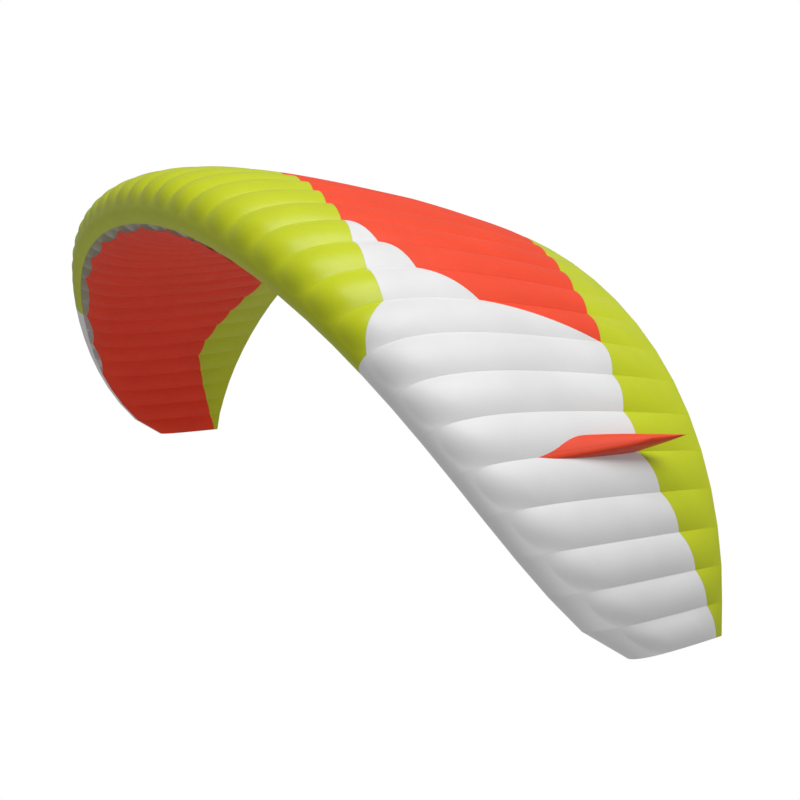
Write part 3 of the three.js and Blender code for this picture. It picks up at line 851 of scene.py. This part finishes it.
# %% The tone
TONE_NOISE = {"Scale": 2.2, "Detail": 3.0}
WRINKLE_NOISE = {"Scale": 14.0, "Detail": 4.0, "Roughness": 0.6}


def make_tone():
    """A broad drift of tone and a finer noise for wrinkles."""
    tree, start, end = new_group("Cloth tone", {"Place": None}, ["Tone", "Wrinkle"])
    broad = add_node(tree, "ShaderNodeTexNoise", inputs=TONE_NOISE)
    fine = add_node(tree, "ShaderNodeTexNoise", inputs=WRINKLE_NOISE)
    for noise in (broad, fine):
        link_inputs(tree, noise, Vector=start.outputs["Place"])
    link_inputs(tree, end, Tone=broad.outputs[0], Wrinkle=fine.outputs[0])
    return tree


tone_group = make_tone()
print("node group:", tone_group.name)

# %% [markdown]
# ## A cloth material
# Each colour has a base tone that drifts a little over the wing, and a painted shade darkens it
# slightly where the cloth folds down into a seam. The thick threads and the stitches are a shade
# darker still. The relief is kept in real metres: a thick thread stands a few hundredths of a
# millimetre proud.
# Thin cloth also lets some light through from inside the wing. A little painted light, a glow in
# the cloth's own colour, stands for it, because a render takes very long to follow light through a
# closed cell. The glow brightens the cloth evenly, in its lit and its shaded parts alike.

# %% Helpers for the cloth
WEAVE_RELIEF, SEAM_RELIEF, WRINKLE_RELIEF = 0.00004, 0.00005, 0.0009   # heights in metres
NOISE_LOW, NOISE_HIGH = 0.3, 0.7           # where the noises' ramps begin and end
PALE, DEEP = 1.03, 0.96                    # ends of the drift of tone, against the colour
THREAD_SHADE, THREAD_MASK = 0.88, 0.35     # a darker shade, and how strongly it is laid on
# painted shade in the fold beside a seam: its darker shade, and how strongly it is laid on
FOLD_PAINTED_SHADE, FOLD_PAINTED_SHADE_MASK = 0.6, 0.05
STITCH_SHADE, STITCH_MASK = 0.75, 0.8
SMOOTHER, ROUGHER = 0.04, 0.05             # the roughness varies by this much down and up
THREAD_ROUGHNESS = 0.05
SHEEN_ROUGHNESS, COAT_ROUGHNESS, SPECULAR = 0.4, 0.35, 0.3


def group_node(tree, group, **links):
    """A node group placed in a material, with its inputs linked to these sockets."""
    node = add_node(tree, "ShaderNodeGroup", node_tree=group)
    link_inputs(tree, node, **links)
    return node


def blend(tree, mask, a, b):
    """A colour mix by a mask socket. a and b are sockets or colours."""
    node = add_node(tree, "ShaderNodeMix", data_type="RGBA")
    tree.links.new(mask, node.inputs[0])
    for socket, value in zip((node.inputs[6], node.inputs[7]), (a, b)):
        if isinstance(value, bpy.types.NodeSocket):
            tree.links.new(value, socket)
        else:
            socket.default_value = (*value, 1)
    return node.outputs[2]


def relief(tree, height, distance, below=None):
    """A bump of this height in metres, on top of another one."""
    node = add_node(tree, "ShaderNodeBump", inputs={"Strength": 1.0, "Distance": distance})
    link_inputs(tree, node, Height=height)
    if below is not None:
        link_inputs(tree, node, Normal=below)
    return node.outputs["Normal"]


def shade(colour, by):
    """A lighter or darker shade of a colour."""
    return tuple(channel * by for channel in colour)


def layer_mask(tree, seams, output, strength):
    """How strongly a colour is laid on, where either of the two seams has it."""
    either = maths(tree, "MAXIMUM", *(seam.outputs[output] for seam in seams))
    return maths(tree, "MULTIPLY", either, strength)


def cloth_material(name, colour, roughness, sheen, coat, painted_glow):
    """Coated ripstop in one linear colour. painted_glow is painted light, an even glow in the
    cloth's colour for the light it lets through.
    """
    material = bpy.data.materials.new(name)
    material.use_nodes = True
    tree = material.node_tree
    shader = tree.nodes["Principled BSDF"]
    constants = {
        "Sheen Weight": sheen, "Sheen Roughness": SHEEN_ROUGHNESS, "Coat Weight": coat,
        "Coat Roughness": COAT_ROUGHNESS, "Specular IOR Level": SPECULAR,
        # painted light: the cloth glows evenly in its own colour
        "Emission Color": (*colour, 1), "Emission Strength": painted_glow,
    }
    for label, value in constants.items():
        shader.inputs[label].default_value = value
    place = add_node(tree, "ShaderNodeTexCoord")
    cloth = add_node(tree, "ShaderNodeUVMap", uv_map="cloth")
    rib_gap = add_node(tree, "ShaderNodeAttribute", attribute_name="rib_gap")
    edge_gap = add_node(tree, "ShaderNodeAttribute", attribute_name="edge_gap")
    split = add_node(tree, "ShaderNodeSeparateXYZ")
    tree.links.new(cloth.outputs["UV"], split.inputs[0])
    weave = group_node(tree, weave_group, Cloth=cloth.outputs["UV"])
    tone = group_node(tree, tone_group, Place=place.outputs["Object"])
    seams = [group_node(tree, seam_group, Gap=rib_gap.outputs["Fac"], Along=split.outputs["Y"]),
             group_node(tree, seam_group, Gap=edge_gap.outputs["Fac"], Along=split.outputs["X"])]
    drift = ramp(tree, tone.outputs["Tone"], NOISE_LOW, NOISE_HIGH)
    base = blend(tree, drift, shade(colour, DEEP), shade(colour, PALE))
    threads = maths(tree, "MULTIPLY", weave.outputs["Thread"], THREAD_MASK)
    base = blend(tree, threads, base, shade(colour, THREAD_SHADE))
    # painted shade where the cloth folds down into a seam
    painted_fold_shade = layer_mask(tree, seams, "Fold", FOLD_PAINTED_SHADE_MASK)
    base = blend(tree, painted_fold_shade, base, shade(colour, FOLD_PAINTED_SHADE))
    stitches = layer_mask(tree, seams, "Thread", STITCH_MASK)
    base = blend(tree, stitches, base, shade(colour, STITCH_SHADE))
    tree.links.new(base, shader.inputs["Base Color"])
    rough = ramp(tree, tone.outputs["Wrinkle"], NOISE_LOW, NOISE_HIGH,
                 roughness - SMOOTHER, roughness + ROUGHER)
    rough_threads = maths(tree, "MULTIPLY", weave.outputs["Thread"], THREAD_ROUGHNESS)
    tree.links.new(maths(tree, "ADD", rough, rough_threads), shader.inputs["Roughness"])
    dips = maths(tree, "ADD", *(seam.outputs["Height"] for seam in seams))
    normal = relief(tree, tone.outputs["Wrinkle"], WRINKLE_RELIEF)
    normal = relief(tree, dips, SEAM_RELIEF, normal)
    normal = relief(tree, weave.outputs["Height"], WEAVE_RELIEF, normal)
    link_inputs(tree, shader, Normal=normal)
    return material


# the painted shade in a fold darkens the cloth by this much
print("a fold darkens the cloth by", round(FOLD_PAINTED_SHADE_MASK * (1 - FOLD_PAINTED_SHADE) * 100), "%")

# %% [markdown]
# ## The five cloths
# The sails have four colours and the ribs are grey. Lime and white are the glossiest, and the
# ribs, which need no coating to hold the air in, are the dullest.

# %% Mix the cloth colours
CLOTHS = {  # slot: name, linear colour, roughness, sheen, coat, painted glow
    # lime, white and the grey ribs carry a painted glow, an even brightening in their own colour
    "sail_lime": ("Lime sailcloth", (0.43, 0.49, 0.008), 0.38, 0.02, 0.05, 0.12),
    "sail_orange": ("Orange sailcloth", (0.74, 0.055, 0.017), 0.50, 0.02, 0.0, 0.0),
    "sail_white": ("White sailcloth", (0.53, 0.53, 0.53), 0.46, 0.02, 0.05, 0.28),
    "sail_red": ("Red sailcloth", (0.99, 0.052, 0.014), 0.55, 0.02, 0.0, 0.0),
    "rib_grey": ("Grey rib cloth", (0.70, 0.69, 0.67), 0.62, 0.03, 0.0, 0.06),
}
cloths = {slot: cloth_material(*facts) for slot, facts in CLOTHS.items()}
for piece in pieces.values():
    piece.data.materials.append(cloths[piece["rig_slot"]])
print("cloths:", [cloth.name for cloth in cloths.values()])

# %% [markdown]
# ## The floor
# The wing flies, so the floor lies well below it. The camera sees it as plain white, and it throws
# a little less light back up than it shows, so that the underside of the wing stays in shade.

# %% Floor
FLOOR_BELOW = 12.0           # from the origin down to the floor
FLOOR_SIZE = 400.0
FLOOR_TONE = (0.86, 0.86, 0.86, 1)         # as the light sees it
SEEN_WHITE = (1.0, 1.0, 1.0, 1)            # as the camera sees it

bpy.ops.object.select_all(action="DESELECT")
bpy.ops.mesh.primitive_plane_add(size=FLOOR_SIZE, location=(0, 0, -FLOOR_BELOW))
floor = bpy.context.active_object
floor.name = "floor"


def seen_or_lighting(tree, seen, lighting):
    """Shows one shader to the camera and uses the other as light."""
    path = add_node(tree, "ShaderNodeLightPath")
    mixer = add_node(tree, "ShaderNodeMixShader")
    tree.links.new(path.outputs["Is Camera Ray"], mixer.inputs[0])
    tree.links.new(lighting, mixer.inputs[1])
    tree.links.new(seen, mixer.inputs[2])
    return mixer.outputs[0]


floor_material = bpy.data.materials.new("Pale floor")
floor_material.use_nodes = True
tree = floor_material.node_tree
plain = add_node(tree, "ShaderNodeEmission", inputs={"Color": SEEN_WHITE})
matt = add_node(tree, "ShaderNodeBsdfDiffuse", inputs={"Color": FLOOR_TONE})
shown = seen_or_lighting(tree, plain.outputs[0], matt.outputs[0])
tree.links.new(shown, tree.nodes["Material Output"].inputs["Surface"])
floor.data.materials.append(floor_material)
print("the floor lies", FLOOR_BELOW, "m below the wing")

# %% [markdown]
# ## The sky and the lamp
# The light comes from a wide pale sky that is a little stronger towards the ground, and from one
# large soft lamp high above the left side. The sky alone would light the bulges evenly and make
# them look flat, and the lamp gives each one its bright and its shaded side.

# %% Sky and lamp
SKY_TOP, SKY_SIDE, SKY_BELOW = 0.24, 0.31, 0.36
SKY_FULL_BELOW = -0.6        # how far below the horizon the sky is strongest
LAMP_SIZE, LAMP_POWER = 12.0, 2400.0       # metres, watts
LAMP_AT = (7.5, 0.5, 12.0)

world = bpy.data.worlds.new("Pale studio")
world.use_nodes = True
bpy.context.scene.world = world
tree = world.node_tree
direction = add_node(tree, "ShaderNodeTexCoord")
split = add_node(tree, "ShaderNodeSeparateXYZ")
tree.links.new(direction.outputs["Generated"], split.inputs[0])
above = ramp(tree, split.outputs["Z"], 0.0, 1.0, SKY_SIDE, SKY_TOP)
below = ramp(tree, split.outputs["Z"], SKY_FULL_BELOW, 0.0, SKY_BELOW, SKY_SIDE)
strength = maths(tree, "MULTIPLY", maths(tree, "DIVIDE", above, SKY_SIDE), below)
lighting = add_node(tree, "ShaderNodeBackground", inputs={"Color": SEEN_WHITE})
tree.links.new(strength, lighting.inputs["Strength"])
seen = add_node(tree, "ShaderNodeBackground", inputs={"Color": SEEN_WHITE, "Strength": 1.0})
shown = seen_or_lighting(tree, seen.outputs[0], lighting.outputs[0])
tree.links.new(shown, tree.nodes["World Output"].inputs["Surface"])

lamp_light = bpy.data.lights.new("Soft lamp", "AREA")
lamp_light.size = LAMP_SIZE
lamp_light.energy = LAMP_POWER
lamp = bpy.data.objects.new("Soft lamp", lamp_light)
lamp.location = LAMP_AT
lamp.rotation_euler = Vector(lamp.location).to_track_quat("Z", "Y").to_euler()
bpy.context.collection.objects.link(lamp)
print("the lamp hangs", LAMP_AT[2], "m above the wing")

# %% [markdown]
# ## The camera
# The camera stands outside the left tip, in front of the wing and a little lower than the top of
# its arch, and looks slightly down. From there the upper sail and the inside of the arch show.

# %% Camera
FRAME_PIXELS = 800           # the picture is square
SENSOR = 36.0                # width in millimetres
FOCAL_PIXELS = 1039.44       # focal length, in pixels of the picture
AZIMUTH, ELEVATION, ROLL = 58.8079, 7.8859, 1.0423         # degrees
CAMERA_AT = (8.8538, -3.504, -0.1108)
FARTHEST_SEEN = 1000.0


def camera_turn():
    """Turn of the camera from its azimuth, elevation and roll."""
    azimuth, elevation, roll = map(math.radians, (AZIMUTH, ELEVATION, ROLL))
    back = Vector((math.sin(azimuth) * math.cos(elevation),
                   -math.cos(azimuth) * math.cos(elevation), math.sin(elevation)))
    level = Vector((math.cos(azimuth), math.sin(azimuth), 0))
    up = back.cross(level)
    right = level * math.cos(roll) + up * math.sin(roll)
    up = up * math.cos(roll) - level * math.sin(roll)
    return Matrix((right, up, back)).transposed()


lens = bpy.data.cameras.new("Camera")
lens.sensor_width = SENSOR
lens.lens = FOCAL_PIXELS * SENSOR / FRAME_PIXELS
lens.clip_end = FARTHEST_SEEN
camera = bpy.data.objects.new("Camera", lens)
camera.matrix_world = Matrix.Translation(CAMERA_AT) @ camera_turn().to_4x4()
bpy.context.collection.objects.link(camera)
bpy.context.scene.camera = camera
bpy.context.scene.view_settings.view_transform = "Standard"
print("camera lens", round(lens.lens, 2), "mm")
